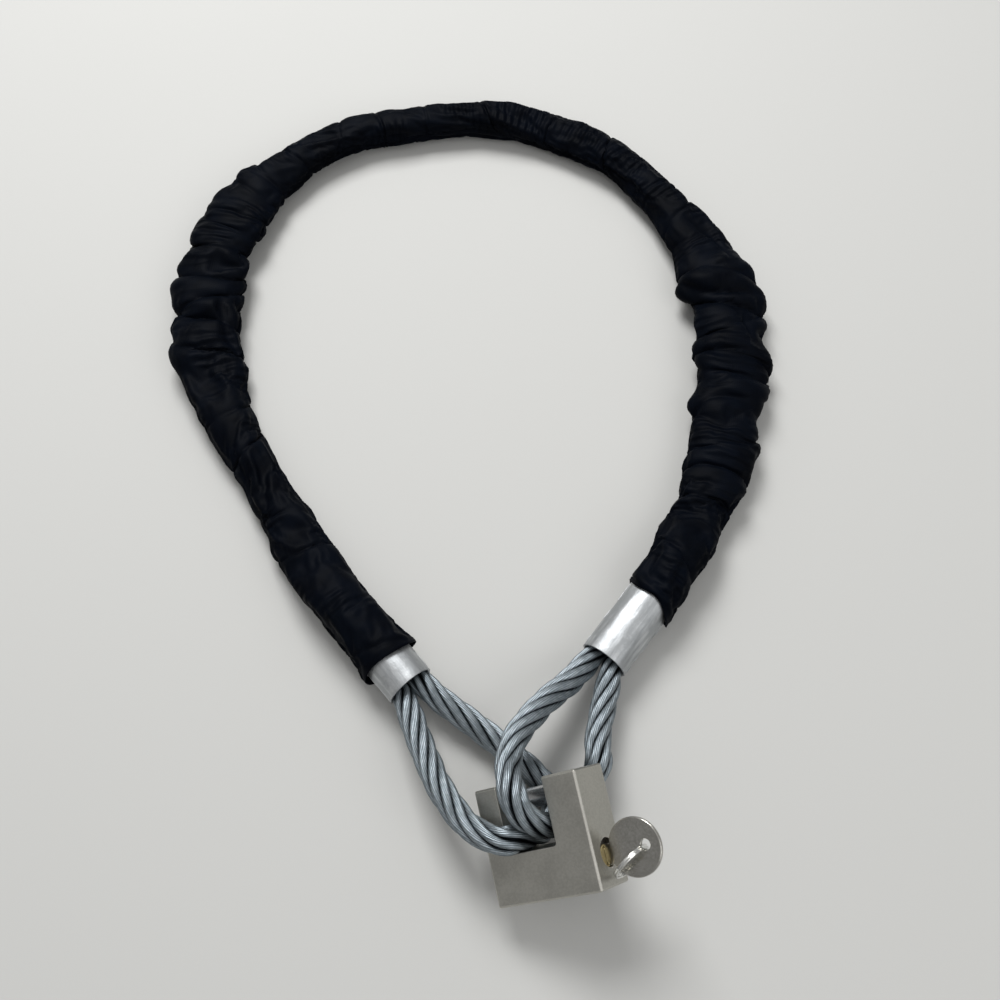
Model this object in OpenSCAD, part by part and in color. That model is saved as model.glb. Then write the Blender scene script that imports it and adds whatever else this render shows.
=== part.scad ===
// Cable lock: a wire rope sling with a swaged eye at each end and a fabric sleeve,
// its two eyes linked through a rectangular straight-bolt padlock that lies on the floor.
// Millimetres, +Z up, floor at z = 0, origin under the centre of the padlock and its key.

/* [Padlock body] */
// Width of the body, across the bolt
body_w = 60; // [58:0.5:62]
// Thickness of the body, front face to back face
body_t = 27; // [26:0.5:30]
// Height of the body, base to the tops of the arms
body_h = 57; // [56:0.5:60]
// Width of the arm that the bolt leaves through
arm_w = 13; // [12.5:0.5:14]
// Width of the notch between the arms
notch_w = 28; // [27.5:0.5:29]
// Depth of the notch, down from the tops of the arms
notch_depth = 33; // [32:0.5:34]
// Bevel along every outer edge of the body
edge_bevel = 0.9; // [0.4:0.1:1.4]

/* [Bolt] */
// Diameter of the locking bolt
bolt_d = 10; // [8:0.5:11]
// Distance of the bolt's axis below the tops of the arms
bolt_drop = 9; // [8.5:0.5:10]
// How far the bolt pulls out
bolt_travel = 38; // [37.5:0.5:39]

/* [Cylinder and key] */
// Diameter of the cylinder's recess in the side face
cylinder_d = 14; // [13.5:0.5:14.5]
// Height of the cylinder's axis above the base
cylinder_z = 16; // [15.5:0.25:16.5]
// Diameter of the rotating plug
plug_d = 10; // [9.6:0.1:10]
// Diameter of the key's round bow
bow_d = 28; // [26:0.5:29]
// Thickness of the key
key_t = 2; // [1.6:0.1:2.2]
// Mean radius of the split ring
ring_r = 10; // [9.8:0.1:10.2]

/* [How the padlock lies] */
// Angle by which the key side is raised on the ropes
tilt = 36; // [35:0.5:37]
// Angle by which the bolt end is raised
pitch = 10; // [9:0.5:11]
// Turn of the padlock on the floor
yaw = 7; // [6:0.5:8]

/* [Wire rope] */
// Diameter of the wire rope
rope_d = 13; // [12:0.5:13]
// Diameter of the swaged ferrules
ferrule_d = 27; // [26.5:0.5:28]
// Length of the swaged ferrules
ferrule_len = 57; // [50:1:60]

/* [Fabric sleeve] */
// Thickness of the sleeve's wall, as a closed solid
sleeve_wall = 1.2; // [1:0.1:1.4]

/* [Hidden] */
$fn = 64;
eps = 0.1;

// The padlock's own frame: X along the bolt towards the key, Y from front to back, Z up.
notch_z = body_h - notch_depth;
notch_end = arm_w + notch_w;
mid_y = body_t / 2;
bolt_z = body_h - bolt_drop;
bolt_r = bolt_d / 2;
bolt_x0 = 0.4;
bolt_x1 = notch_end + 10;
bolt_bore_end = notch_end + 16;
slide_gap = 0.05;
bolt_chamfer = 1;
bolt_notch_depth = 2.5;
bolt_slot_depth = 1.4;
bolt_spring_r = 3.5;
bolt_spring_len = 4.8;
stop_pin_x = 6.5;
stop_pin_r = 1.25;
stop_pin_play = 0.1;
stop_pin_y0 = mid_y + bolt_r - bolt_slot_depth + 2 * stop_pin_play;
pin_sunk = 0.3;
slot_r = stop_pin_r + stop_pin_play;

// Latch in the narrow arm
latch_x = 4;
latch_t = 5;
latch_w = 8;
latch_z0 = 7;
latch_gap = 0.1;
latch_cap = 4;
latch_plug_gap = latch_gap - 0.02;
latch_top = bolt_z - bolt_r - 0.1;
latch_spring_r = 1.3;
latch_spring_len = 5.1;

// Cylinder, with the plug set low in its housing
recess = 2.8;
housing_x0 = 33.5;
housing_x1 = body_w - recess;
bore_x0 = 31;
plug_z = cylinder_z - 1.4;
plug_r = plug_d / 2 - 0.02;
plug_x0 = 31.4;
plug_x1 = housing_x1 + 0.05;
head_r = 5.4;
head_t = 1.5;
head_bevel = 0.4;
keyway_w = key_t + 0.3;
keyway_h = 7.2;
keyway_x0 = 36;
wafer_count = 6;
wafer_x0 = 38;
wafer_step = 3;
wafer_t = 1.2;
wafer_cuts = [1.0, 1.8, 1.2, 2.0, 1.4, 0.8];
wafer_gap = 0.05;
wafer_slot_w = 6.4;
wafer_w = 5;
wafer_h = 7.4;
wafer_hole_w = 2.6;
wafer_hole_h = 6.9;
wafer_spring_len = 3.6;
clip_x = 32.2;
clip_r = 4.1;
clip_outer_r = 5.4;
clip_t = 1;
clip_opening = 4.8;
cross_pin_x = 50;
cross_pin_z = 19.5;
cross_pin_r = 1.5;
cross_pin_y0 = 18;
spindle_r = 3;
crank_r = 2;
crank_angle = 45;
crank_pin_r = 0.8;
crank_z = plug_z + crank_r * sin(crank_angle);
crank_y = mid_y + crank_r * cos(crank_angle);
socket_w = 3;
socket_depth = 3;
tang_gap = 0.02;
tang_w = socket_w - 2 * tang_gap;

// Key
blade_h = 6.6;
blade_x0 = 37;
blade_tip = 2.6;
shoulder_x = 59.3;
neck_low = -4.6;
neck_high = 5.4;
neck_x1 = 66;
bow_x = 75;
bow_z = plug_z + 1.5;
hole_x = bow_x + 6;
hole_z = bow_z + 0.3;
hole_r = 2.6;
ring_wire_r = 0.6;
ring_seat = 1.8;
ring_angle = 32;

// Where the padlock's frame lies: its lowest corner is on the floor.
lock_x = -32.1;
lock_y = -33.7;
lock_z = body_t * cos(tilt) * cos(pitch)
    - edge_bevel * (sin(tilt) + cos(tilt) * sin(pitch));
lock_angles = [pitch - 90, -tilt, yaw];

function turn_x(p, a) = [p[0], p[1] * cos(a) - p[2] * sin(a), p[1] * sin(a) + p[2] * cos(a)];
function turn_y(p, a) = [p[0] * cos(a) + p[2] * sin(a), p[1], p[2] * cos(a) - p[0] * sin(a)];
function turn_z(p, a) = [p[0] * cos(a) - p[1] * sin(a), p[0] * sin(a) + p[1] * cos(a), p[2]];
function from_lock(p) = [lock_x, lock_y, lock_z]
    + turn_z(turn_y(turn_x(p, lock_angles[0]), lock_angles[1]), lock_angles[2]);

// Rope routes. Points of an eye that pass round the padlock are given in the padlock's frame.
ferrule_z = 15.4;
leg_offset = rope_d / 2 + 0.1;
tail_len = 9;
left_end = [-79, 78, ferrule_z];
right_end = [24, 92, ferrule_z];
left_face = -[-37, 43, 0] / norm([37, 43]);
right_face = -[35, 45, 0] / norm([35, 45]);
left_far = left_end - ferrule_len * left_face;
right_far = right_end - ferrule_len * right_face;

eye_left_front = [
    [-79, 64, 17], [-74.5, 52, 20], [-69, 39, 24], [-62, 24, 29],
];
eye_left_round = [
    [-4.5, -10, 47.5], [1.5, -9.7, 40.5], [8, -8.7, 35.2], [14.5, -6.9, 31.8], [18.8, -3, 31],
    [19.9, 4, 30.8], [20, 11, 30.8], [20.3, 18, 30.9], [20.8, 25, 31.5], [21.2, 31, 33.2],
    [21.3, 35.6, 37], [21, 38, 42.5], [20, 38.2, 49],
];
eye_left_back = [
    [-14.5, 33.5, 11], [-25.5, 43.5, 10], [-39, 54, 10], [-52, 63.5, 11.3], [-64, 72, 13.5],
];
eye_right_front = [
    [13, 88, 17.5], [4, 78, 22], [-7, 68, 28], [-17, 56.5, 34], [-24.5, 45, 39], [-27.5, 32, 43],
];
eye_right_round = [
    [26.3, -5.4, 57], [28, -8, 51], [29, -8.2, 46], [30.2, -6.3, 41.5], [31.6, -3, 38], [32.9, 2, 35.2],
    [33.8, 8, 33.6], [34.2, 14, 33.4], [34.3, 21, 33.8], [34.3, 27.5, 35.4], [35.5, 33.3, 38.6],
    [38.2, 38.2, 42.4], [41.8, 41, 47], [46, 42.4, 52], [50, 43, 58],
];
eye_right_back = [
    [19, 48, 21.5], [21.5, 61, 18.5], [25, 75, 16],
];

// Sleeve stations: x, y, z, half width and half height.
sleeve_run = [
    [-90, 91, 15.4, 18, 15.2], [-103, 106, 15.4, 17, 15.2], [-119, 124, 15.3, 16.4, 15.1],
    [-131, 140, 13, 18, 12.8], [-143, 157, 9.8, 19, 9.6], [-156, 179, 9.6, 18, 9.4],
    [-171, 204, 9.6, 17, 9.4], [-186, 229, 9.6, 17.5, 9.4], [-198, 254, 9.7, 18.5, 9.5],
    [-207, 282, 9.7, 19, 9.5], [-210, 312, 9.7, 19.5, 9.5], [-208, 342, 9.7, 19, 9.5],
    [-201, 371, 9.7, 18.5, 9.5], [-187, 398, 9.7, 17.5, 9.5], [-167, 421, 9.6, 16.5, 9.4],
    [-142, 438, 9.5, 16, 9.3], [-113, 450, 9.5, 15.5, 9.3], [-82, 456, 9.5, 15.5, 9.3],
    [-50, 459, 9.5, 16, 9.3], [-18, 456, 9.5, 16.5, 9.3], [12, 446, 9.5, 16, 9.3],
    [38, 430, 9.6, 16, 9.4], [60, 408, 9.7, 16.5, 9.5], [79, 382, 9.7, 18, 9.5],
    [95, 352, 9.8, 19, 9.6], [105, 320, 9.8, 20, 9.6], [107, 288, 9.8, 20, 9.6],
    [103, 257, 9.8, 19.5, 9.6], [97, 226, 9.8, 19.5, 9.6], [90, 198, 10, 19, 9.8],
    [79, 172, 11, 17.5, 10.8], [69, 154, 14, 16.4, 13.8], [61, 140, 15.3, 16.2, 15.1],
    [49, 124, 15.4, 17, 15.2],
];
// First and last stations that the rope inside the sleeve passes, between the ferrules
rope_first = 3;
rope_last = 31;

// Unit vector, and the direction of a route at one of its points
function unit(v) = v / norm(v);
function heading(route, i) = unit(route[min(i + 1, len(route) - 1)] - route[max(i - 1, 0)]);
function flat_side(t) = unit(cross([0, 0, 1], t));
function xyz(p) = [p[0], p[1], p[2]];

// Leg positions beside each other on the end face of a ferrule
function leg_start(end, far, side) = end + side * leg_offset * flat_side(unit(end - far));

eye_left = concat(
    [leg_start(left_end, left_far, -1)],
    eye_left_front,
    [for (p = eye_left_round) from_lock(p)],
    eye_left_back,
    [leg_start(left_end, left_far, 1)]
);
eye_right = concat(
    [leg_start(right_end, right_far, -1)],
    eye_right_front,
    [for (p = eye_right_round) from_lock(p)],
    eye_right_back,
    [leg_start(right_end, right_far, 1)]
);
main_start = leg_start(left_far, left_end, -1);
main_end = leg_start(right_far, right_end, 1);
rope_inside = concat(
    [main_start, main_start - tail_len * left_face],
    [for (i = [rope_first:rope_last]) xyz(sleeve_run[i])],
    [main_end - tail_len * right_face, main_end]
);

// Ring of points round a station; a and b are the half width and half height.
function ring_points(centre, t, a, b, sides) =
    let (u = flat_side(t), v = cross(t, u))
    [for (k = [0:sides - 1]) centre + a * cos(360 * k / sides) * u + b * sin(360 * k / sides) * v];

// Triangles between ring i and ring i + 1 of n sides, starting at point number base
function band(i, n, base) = [
    for (k = [0:n - 1]) let (a = base + i * n + k, b = base + i * n + (k + 1) % n)
        each [[a, a + n, b], [b, a + n, b + n]]
];
function flipped(faces) = [for (f = faces) [f[2], f[1], f[0]]];

// Round or oval bar swept along a route, with flat ends
module swept_bar(route, r, sides, end_t = undef) {
    last = len(route) - 1;
    points = [
        for (i = [0:last])
            let (t = (end_t != undef && (i == 0 || i == last)) ? end_t[i == 0 ? 0 : 1]
                                                               : heading(route, i))
            each ring_points(route[i], t, r, r, sides)
    ];
    faces = concat(
        [for (i = [0:last - 1]) each band(i, sides, 0)],
        [[for (k = [0:sides - 1]) k]],
        [[for (k = [sides - 1:-1:0]) last * sides + k]]
    );
    polyhedron(points, faces, convexity = 6);
}

// Hollow tube of cloth swept along stations of x, y, z, half width, half height
module swept_shell(stations, wall, sides) {
    route = [for (s = stations) xyz(s)];
    last = len(route) - 1;
    outer = [
        for (i = [0:last])
            each ring_points(route[i], heading(route, i), stations[i][3], stations[i][4], sides)
    ];
    inner = [
        for (i = [0:last])
            each ring_points(route[i], heading(route, i), stations[i][3] - wall,
                             stations[i][4] - wall, sides)
    ];
    n = len(outer);
    rim0 = [for (k = [0:sides - 1]) let (j = (k + 1) % sides) each [[k, j, n + k], [j, n + j, n + k]]];
    e = last * sides;
    rim1 = [
        for (k = [0:sides - 1]) let (j = (k + 1) % sides)
            each [[e + k, n + e + k, e + j], [e + j, n + e + k, n + e + j]]
    ];
    faces = concat(
        [for (i = [0:last - 1]) each band(i, sides, 0)],
        flipped([for (i = [0:last - 1]) each band(i, sides, n)]),
        rim0,
        rim1
    );
    polyhedron(concat(outer, inner), faces, convexity = 6);
}

// Coil spring along +Z, from z = 0 to the given length between wire centres
module coil(r, wire_r, turns, length, sides = 6, steps = 16) {
    route = [
        for (i = [0:turns * steps])
            [r * cos(360 * i / steps), r * sin(360 * i / steps), length * i / (turns * steps)]
    ];
    swept_bar(route, wire_r, sides);
}

module lay_down() {
    translate([lock_x, lock_y, lock_z]) rotate(lock_angles) children();
}

// Cylinder along +X from x0 to x1 at height z of the padlock's frame
module x_rod(r, x0, x1, z, y = mid_y) {
    translate([x0, y, z]) rotate([0, 90, 0]) cylinder(r = r, h = x1 - x0);
}

// Rectangle with bevelled corners
module bevelled_rect(w, h, b) {
    polygon([[b, 0], [w - b, 0], [w, b], [w, h - b], [w - b, h], [b, h], [0, h - b], [0, b]]);
}

module body_block() {
    intersection() {
        translate([0, body_t, 0]) rotate([90, 0, 0])
            linear_extrude(body_t) bevelled_rect(body_w, body_h, edge_bevel);
        linear_extrude(body_h) bevelled_rect(body_w, body_t, edge_bevel);
        rotate([90, 0, 90]) linear_extrude(body_w) bevelled_rect(body_t, body_h, edge_bevel);
    }
}

// Outline of the notch, with rounded lower corners
module notch_outline(r = 2) {
    translate([arm_w + r, notch_z]) square([notch_w - 2 * r, notch_depth + eps]);
    translate([arm_w, notch_z + r]) square([notch_w, notch_depth - r + eps]);
    for (x = [arm_w + r, notch_end - r]) translate([x, notch_z + r]) circle(r = r);
}

module lock_body() {
    color([0.62, 0.61, 0.57]) lay_down() difference() {
        body_block();
        translate([0, body_t + eps, 0]) rotate([90, 0, 0])
            linear_extrude(body_t + 2 * eps) notch_outline();
        x_rod(bolt_r + slide_gap, -eps, arm_w + eps, bolt_z);
        x_rod(bolt_r + slide_gap, notch_end - eps, bolt_bore_end, bolt_z);
        x_rod(cylinder_d / 2, bore_x0, body_w + eps, cylinder_z);
        x_rod(spindle_r + 0.1, latch_x + latch_t, bore_x0 + eps, plug_z);
        translate([latch_x - latch_gap, mid_y - latch_w / 2 - latch_gap, -eps])
            cube([latch_t + 2 * latch_gap, latch_w + 2 * latch_gap, bolt_z - bolt_r / 2]);
        stop_pin_rod(stop_pin_r, 0);
        cylinder_pin_rod(cross_pin_r, 0);
    }
}

// Straight bolt: a locking notch below, and a long slot behind for its stop pin
module locking_bolt() {
    color([0.75, 0.75, 0.76]) lay_down() difference() {
        union() {
            x_rod(bolt_r, bolt_x0, bolt_x1 - bolt_chamfer, bolt_z);
            translate([bolt_x1 - bolt_chamfer, mid_y, bolt_z]) rotate([0, 90, 0])
                cylinder(r1 = bolt_r, r2 = bolt_r - bolt_chamfer, h = bolt_chamfer);
        }
        translate([latch_x - latch_gap, 0, bolt_z - bolt_r - eps])
            cube([latch_t + 2 * latch_gap, body_t, bolt_notch_depth + eps]);
        translate([stop_pin_x - slot_r, mid_y + bolt_r - bolt_slot_depth, bolt_z - slot_r])
            cube([bolt_travel + 2 * slot_r, bolt_r, 2 * slot_r]);
    }
}

module bolt_spring() {
    color([0.7, 0.7, 0.72]) lay_down()
        translate([bolt_x1 + 0.6, mid_y, bolt_z]) rotate([0, 90, 0])
            coil(bolt_spring_r, 0.45, 4, bolt_spring_len);
}

// Pin from the back face into the bolt's slot
module stop_pin_rod(r, shorter) {
    translate([stop_pin_x, body_t - shorter, bolt_z]) rotate([90, 0, 0])
        cylinder(r = r, h = body_t - shorter - stop_pin_y0);
}

module bolt_stop_pin() {
    color([0.7, 0.7, 0.71]) lay_down() stop_pin_rod(stop_pin_r, pin_sunk);
}

// Latch bar with a slot for the crank pin and a pocket for its spring
module latch() {
    color([0.72, 0.66, 0.4]) lay_down() difference() {
        translate([latch_x, mid_y - latch_w / 2, latch_z0])
            cube([latch_t, latch_w, latch_top - latch_z0]);
        translate([latch_x + 1.4, mid_y + 0.3, crank_z - crank_pin_r - 0.15])
            cube([latch_t, 2.9, 2 * crank_pin_r + 0.3]);
        translate([latch_x + latch_t / 2, mid_y, latch_z0 - eps])
            cylinder(r = latch_spring_r + 0.4, h = latch_spring_len + 0.9);
    }
}

module latch_spring() {
    color([0.7, 0.7, 0.72]) lay_down()
        translate([latch_x + latch_t / 2, mid_y, latch_z0 + 0.3])
            coil(latch_spring_r, 0.25, 5, latch_spring_len, 6, 12);
}

module latch_plug() {
    color([0.62, 0.61, 0.57]) lay_down()
        translate([latch_x - latch_plug_gap, mid_y - latch_w / 2 - latch_plug_gap, 0])
            cube([latch_t + 2 * latch_plug_gap, latch_w + 2 * latch_plug_gap, latch_cap]);
}

module cylinder_housing() {
    color([0.73, 0.6, 0.32]) lay_down() difference() {
        x_rod(cylinder_d / 2 - 0.03, housing_x0, housing_x1, cylinder_z);
        x_rod(plug_r + slide_gap, housing_x0 - eps, housing_x1 + eps, plug_z);
        cylinder_pin_rod(cross_pin_r, 0);
    }
}

// Cross pin that keeps the cylinder in its bore
module cylinder_pin_rod(r, shorter) {
    translate([cross_pin_x, body_t - shorter, cross_pin_z]) rotate([90, 0, 0])
        cylinder(r = r, h = body_t - shorter - cross_pin_y0);
}

module cylinder_pin() {
    color([0.7, 0.7, 0.71]) lay_down() cylinder_pin_rod(cross_pin_r, pin_sunk);
}

module cylinder_plug() {
    color([0.78, 0.66, 0.36]) lay_down() difference() {
        union() {
            x_rod(plug_r, plug_x0, plug_x1, plug_z);
            x_rod(head_r, plug_x1, plug_x1 + head_t - head_bevel, plug_z);
            translate([plug_x1 + head_t - head_bevel, mid_y, plug_z]) rotate([0, 90, 0])
                cylinder(r1 = head_r, r2 = head_r - head_bevel, h = head_bevel);
        }
        translate([keyway_x0, mid_y - keyway_w / 2, plug_z - keyway_h / 2])
            cube([body_w, keyway_w, keyway_h]);
        for (i = [0:wafer_count - 1])
            translate([wafer_x0 + i * wafer_step - wafer_t / 2 - wafer_gap,
                       mid_y - wafer_slot_w / 2, plug_z - plug_d])
                cube([wafer_t + 2 * wafer_gap, wafer_slot_w, 2 * plug_d]);
        difference() {
            x_rod(plug_d, clip_x, clip_x + clip_t, plug_z);
            x_rod(clip_r, clip_x - eps, clip_x + clip_t + eps, plug_z);
        }
        translate([plug_x0 - eps, mid_y - socket_w / 2, plug_z - socket_w / 2])
            cube([socket_depth + eps, socket_w, socket_w]);
    }
}

// Open retaining ring behind the housing
module plug_clip() {
    color([0.5, 0.5, 0.52]) lay_down() difference() {
        x_rod(clip_outer_r, clip_x + slide_gap, clip_x + clip_t - slide_gap, plug_z);
        x_rod(clip_r + tang_gap, clip_x - eps, clip_x + clip_t + eps, plug_z);
        translate([clip_x - eps, mid_y - clip_opening / 2, plug_z])
            cube([clip_t + 2 * eps, clip_opening, 2 * clip_outer_r]);
    }
}

// Shaft from the plug to the latch, with a crank pin on its end
module spindle() {
    color([0.6, 0.6, 0.62]) lay_down() {
        x_rod(spindle_r, latch_x + latch_t + 0.3, plug_x0 - 0.05, plug_z);
        translate([plug_x0 - eps, mid_y - tang_w / 2, plug_z - tang_w / 2])
            cube([socket_depth - 2 * eps, tang_w, tang_w]);
        x_rod(crank_pin_r, latch_x + 1.8, latch_x + latch_t + 0.4, crank_z, crank_y);
    }
}

module wafers() {
    color([0.8, 0.68, 0.38]) lay_down() for (i = [0:wafer_count - 1])
        translate([wafer_x0 + i * wafer_step - wafer_t / 2, 0, plug_z]) difference() {
            translate([0, mid_y - wafer_slot_w / 2 + 2 * wafer_gap, -wafer_h / 2])
                cube([wafer_t, wafer_w, wafer_h]);
            translate([-eps, mid_y - wafer_hole_w / 2, -wafer_hole_h / 2])
                cube([wafer_t + 2 * eps, wafer_hole_w, wafer_hole_h]);
        }
}

module wafer_springs() {
    color([0.7, 0.7, 0.72]) lay_down() for (i = [0:wafer_count - 1])
        translate([wafer_x0 + i * wafer_step, mid_y + wafer_w / 2 + 0.05, plug_z - wafer_spring_len / 2])
            coil(0.38, 0.12, 3, wafer_spring_len, 4, 8);
}

// Flat key with a cut edge, a shoulder and a round bow
module key() {
    color([0.72, 0.72, 0.71]) lay_down() {
        translate([0, mid_y + key_t / 2, plug_z]) rotate([90, 0, 0])
            linear_extrude(key_t) difference() {
                polygon([
                    [blade_x0, 0], [blade_x0 + blade_tip, -blade_h / 2], [shoulder_x, -blade_h / 2],
                    [shoulder_x, neck_low], [neck_x1, neck_low], [neck_x1, neck_high],
                    [shoulder_x, neck_high], [shoulder_x, blade_h / 2],
                    [blade_x0 + blade_tip, blade_h / 2],
                ]);
                for (i = [0:wafer_count - 1])
                    translate([wafer_x0 + i * wafer_step, blade_h / 2])
                        polygon([[-1.3, eps], [1.3, eps], [0.4, -wafer_cuts[i]],
                                 [-0.4, -wafer_cuts[i]]]);
            }
        difference() {
            translate([bow_x, mid_y + key_t / 2, bow_z]) rotate([90, 0, 0]) key_bow();
            translate([hole_x, body_t, hole_z]) rotate([90, 0, 0])
                cylinder(r = hole_r, h = body_t);
        }
    }
}

// Disc with bevelled edges
module key_bow(b = 0.4) {
    r = bow_d / 2;
    cylinder(r1 = r - b, r2 = r, h = b, $fn = 96);
    translate([0, 0, b]) cylinder(r = r, h = key_t - 2 * b, $fn = 96);
    translate([0, 0, key_t - b]) cylinder(r1 = r, r2 = r - b, h = b, $fn = 96);
}

// Split ring: two turns side by side, through the hole of the bow
module key_ring() {
    color([0.76, 0.76, 0.77]) lay_down()
        translate([hole_x, mid_y, hole_z]) rotate([0, -ring_angle, 0])
            translate([-ring_seat - ring_r, 0, 0])
                for (side = [-1, 1]) translate([0, 0, side * (ring_wire_r - 0.02)])
                    rotate_extrude($fn = 72) translate([ring_r, 0]) circle(r = ring_wire_r, $fn = 20);
}

module rope_main() {
    color([0.42, 0.46, 0.5])
        swept_bar(rope_inside, rope_d / 2, 10, [-left_face, right_face]);
}

module rope_eye_left() {
    color([0.42, 0.46, 0.5]) swept_bar(eye_left, rope_d / 2, 10, [left_face, -left_face]);
}

module rope_eye_right() {
    color([0.42, 0.46, 0.5]) swept_bar(eye_right, rope_d / 2, 10, [right_face, -right_face]);
}

// Cut end of the rope, just past the ferrule
module rope_tail(end, far, side) {
    out = unit(far - end);
    start = leg_start(far, end, side);
    swept_bar([start, start + tail_len * out], rope_d / 2, 10);
}

module rope_tail_left() {
    color([0.42, 0.46, 0.5]) rope_tail(left_end, left_far, 1);
}

module rope_tail_right() {
    color([0.42, 0.46, 0.5]) rope_tail(right_end, right_far, -1);
}

// Swaged ferrule between two points of its axis, with a tapered far end
module ferrule(end, far, bevel = 0.8, taper = 9) {
    d = far - end;
    r = ferrule_d / 2;
    translate(end) rotate([0, 90, atan2(d[1], d[0])]) {
        cylinder(r1 = r - bevel, r2 = r, h = bevel);
        translate([0, 0, bevel]) cylinder(r = r, h = norm(d) - bevel - taper);
        translate([0, 0, norm(d) - taper]) cylinder(r1 = r, r2 = r - 0.3, h = taper);
    }
}

module ferrule_left() {
    color([0.66, 0.67, 0.69]) ferrule(left_end, left_far);
}

module ferrule_right() {
    color([0.66, 0.67, 0.69]) ferrule(right_end, right_far);
}

module fabric_sleeve() {
    color([0.05, 0.06, 0.09]) swept_shell(sleeve_run, sleeve_wall, 16);
}

lock_body();
locking_bolt();
bolt_spring();
bolt_stop_pin();
latch();
latch_spring();
latch_plug();
cylinder_housing();
cylinder_pin();
cylinder_plug();
plug_clip();
spindle();
wafers();
wafer_springs();
key();
key_ring();
rope_main();
rope_eye_left();
rope_eye_right();
rope_tail_left();
rope_tail_right();
ferrule_left();
ferrule_right();
fabric_sleeve();
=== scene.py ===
"""Cable lock: a wire rope sling in a gathered cloth sleeve, its eyes joined by a padlock."""

import math
import random

import bmesh
import bpy
import numpy as np
from mathutils import Matrix, Vector


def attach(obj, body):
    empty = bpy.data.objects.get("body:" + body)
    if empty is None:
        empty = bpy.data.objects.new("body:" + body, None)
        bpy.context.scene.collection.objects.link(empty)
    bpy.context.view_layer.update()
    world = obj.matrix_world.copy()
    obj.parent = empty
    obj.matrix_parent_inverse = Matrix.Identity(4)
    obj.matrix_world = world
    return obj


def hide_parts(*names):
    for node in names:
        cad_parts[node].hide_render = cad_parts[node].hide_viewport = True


MM = 0.001
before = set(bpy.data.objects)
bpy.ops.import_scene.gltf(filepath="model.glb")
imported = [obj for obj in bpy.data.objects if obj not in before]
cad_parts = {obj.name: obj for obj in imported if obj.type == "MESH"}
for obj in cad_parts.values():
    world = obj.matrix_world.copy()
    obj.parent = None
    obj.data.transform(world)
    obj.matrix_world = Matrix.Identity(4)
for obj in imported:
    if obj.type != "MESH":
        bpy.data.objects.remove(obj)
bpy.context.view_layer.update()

# Camera
CAMERA_ELEVATION = math.radians(68)
CAMERA_TARGET = Vector((-0.0315, 0.1909, 0))
CAMERA_DISTANCE = 0.66
FOCAL_LENGTH = 40.9

# Padlock, in millimetres in its own frame: X along the bolt, Y front to back, Z up
LOCK_THICKNESS = 27
EDGE_BEVEL = 0.9
TILT, PITCH, YAW = (math.radians(a) for a in (36, 10, 7))
LOCK_Z = LOCK_THICKNESS * math.cos(TILT) * math.cos(PITCH) - EDGE_BEVEL * (
    math.sin(TILT) + math.cos(TILT) * math.sin(PITCH)
)
LOCK_TURN = (
    Matrix.Rotation(YAW, 4, "Z")
    @ Matrix.Rotation(-TILT, 4, "Y")
    @ Matrix.Rotation(PITCH - math.pi / 2, 4, "X")
)
LOCK = Matrix.Translation(Vector((-32.1, -33.7, LOCK_Z)) * MM) @ LOCK_TURN @ Matrix.Scale(MM, 4)

# Rope and ferrules
ROPE_RADIUS = 6.5 * MM
ROPE_LAY = 84 * MM
STRANDS = 6
WIRES = 12
RING_STEP = 1.6 * MM
FERRULE_RADIUS = 13.5 * MM
FERRULE_LENGTH = 57 * MM
FERRULE_HEIGHT = 15.4
LEG_OFFSET = 6.6
LEG_INSET = 3
LEFT_END = np.array([-79, 78, FERRULE_HEIGHT])
RIGHT_END = np.array([24, 92, FERRULE_HEIGHT])
LEFT_INWARD = np.array([-37, 43, 0]) / math.hypot(37, 43)
RIGHT_INWARD = np.array([35, 45, 0]) / math.hypot(35, 45)
LEFT_FAR = LEFT_END + LEFT_INWARD * FERRULE_LENGTH / MM
RIGHT_FAR = RIGHT_END + RIGHT_INWARD * FERRULE_LENGTH / MM

# Routes in millimetres; the middle stretch of each eye is given in the padlock's frame
EYE_LEFT_FRONT = [
    (-79, 64, 17), (-74.5, 52, 20), (-69, 39, 24), (-62, 24, 29),
]
EYE_LEFT_ROUND = [
    (-4.5, -10, 47.5), (1.5, -9.7, 40.5), (8, -8.7, 35.2), (14.5, -6.9, 31.8), (18.8, -3, 31),
    (19.9, 4, 30.8), (20, 11, 30.8), (20.3, 18, 30.9), (20.8, 25, 31.5), (21.2, 31, 33.2),
    (21.3, 35.6, 37), (21, 38, 42.5), (20, 38.2, 49),
]
EYE_LEFT_BACK = [
    (-14.5, 33.5, 11), (-25.5, 43.5, 10), (-39, 54, 10), (-52, 63.5, 11.3), (-64, 72, 13.5),
]
EYE_RIGHT_FRONT = [
    (13, 88, 17.5), (4, 78, 22), (-7, 68, 28), (-17, 56.5, 34), (-24.5, 45, 39), (-27.5, 32, 43),
]
EYE_RIGHT_ROUND = [
    (26.3, -5.4, 57), (28, -8, 51), (29, -8.2, 46), (30.2, -6.3, 41.5), (31.6, -3, 38), (32.9, 2, 35.2),
    (33.8, 8, 33.6), (34.2, 14, 33.4), (34.3, 21, 33.8), (34.3, 27.5, 35.4), (35.5, 33.3, 38.6),
    (38.2, 38.2, 42.4), (41.8, 41, 47), (46, 42.4, 52), (50, 43, 58),
]
EYE_RIGHT_BACK = [
    (19, 48, 21.5), (21.5, 61, 18.5), (25, 75, 16),
]
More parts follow.
